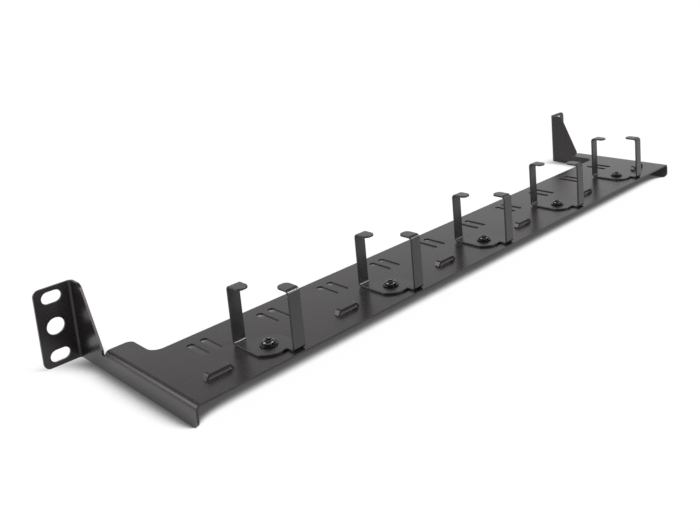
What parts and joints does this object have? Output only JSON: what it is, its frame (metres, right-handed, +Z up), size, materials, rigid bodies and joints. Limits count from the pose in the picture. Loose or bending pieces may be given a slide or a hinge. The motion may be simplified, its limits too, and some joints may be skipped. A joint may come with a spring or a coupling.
{
  "type": "rack cable management panel",
  "caption": "Rack-width folded sheet tray with end flanges and slotted ears, carrying upright cable brackets held by screws, with tie slots and lanced strap bridges.",
  "frame": {"origin": "middle of the panel's width and depth, level with the flanges' and ears' lowest edges", "axes": "+X along the rack's width, +Y towards the rack through the ears, +Z up"},
  "size_m": [0.4826, 0.1144, 0.0435],
  "materials": {
    "panel_powder_coat": "satin black powder coat",
    "bracket_powder_coat": "satin black powder coat",
    "black_zinc_hardware": "black zinc plated steel"
  },
  "bodies": {
    "root": {"panel": "panel_powder_coat", "cable_bracket_1": "bracket_powder_coat", "bracket_screw_1": "black_zinc_hardware", "bracket_washer_1": "black_zinc_hardware", "bracket_nut_1": "black_zinc_hardware", "cable_bracket_2": "bracket_powder_coat", "bracket_screw_2": "black_zinc_hardware", "bracket_washer_2": "black_zinc_hardware", "bracket_nut_2": "black_zinc_hardware", "cable_bracket_3": "bracket_powder_coat", "bracket_screw_3": "black_zinc_hardware", "bracket_washer_3": "black_zinc_hardware", "bracket_nut_3": "black_zinc_hardware", "cable_bracket_4": "bracket_powder_coat", "bracket_screw_4": "black_zinc_hardware", "bracket_washer_4": "black_zinc_hardware", "bracket_nut_4": "black_zinc_hardware", "cable_bracket_5": "bracket_powder_coat", "bracket_screw_5": "black_zinc_hardware", "bracket_washer_5": "black_zinc_hardware", "bracket_nut_5": "black_zinc_hardware"}
  },
  "joints": []
}
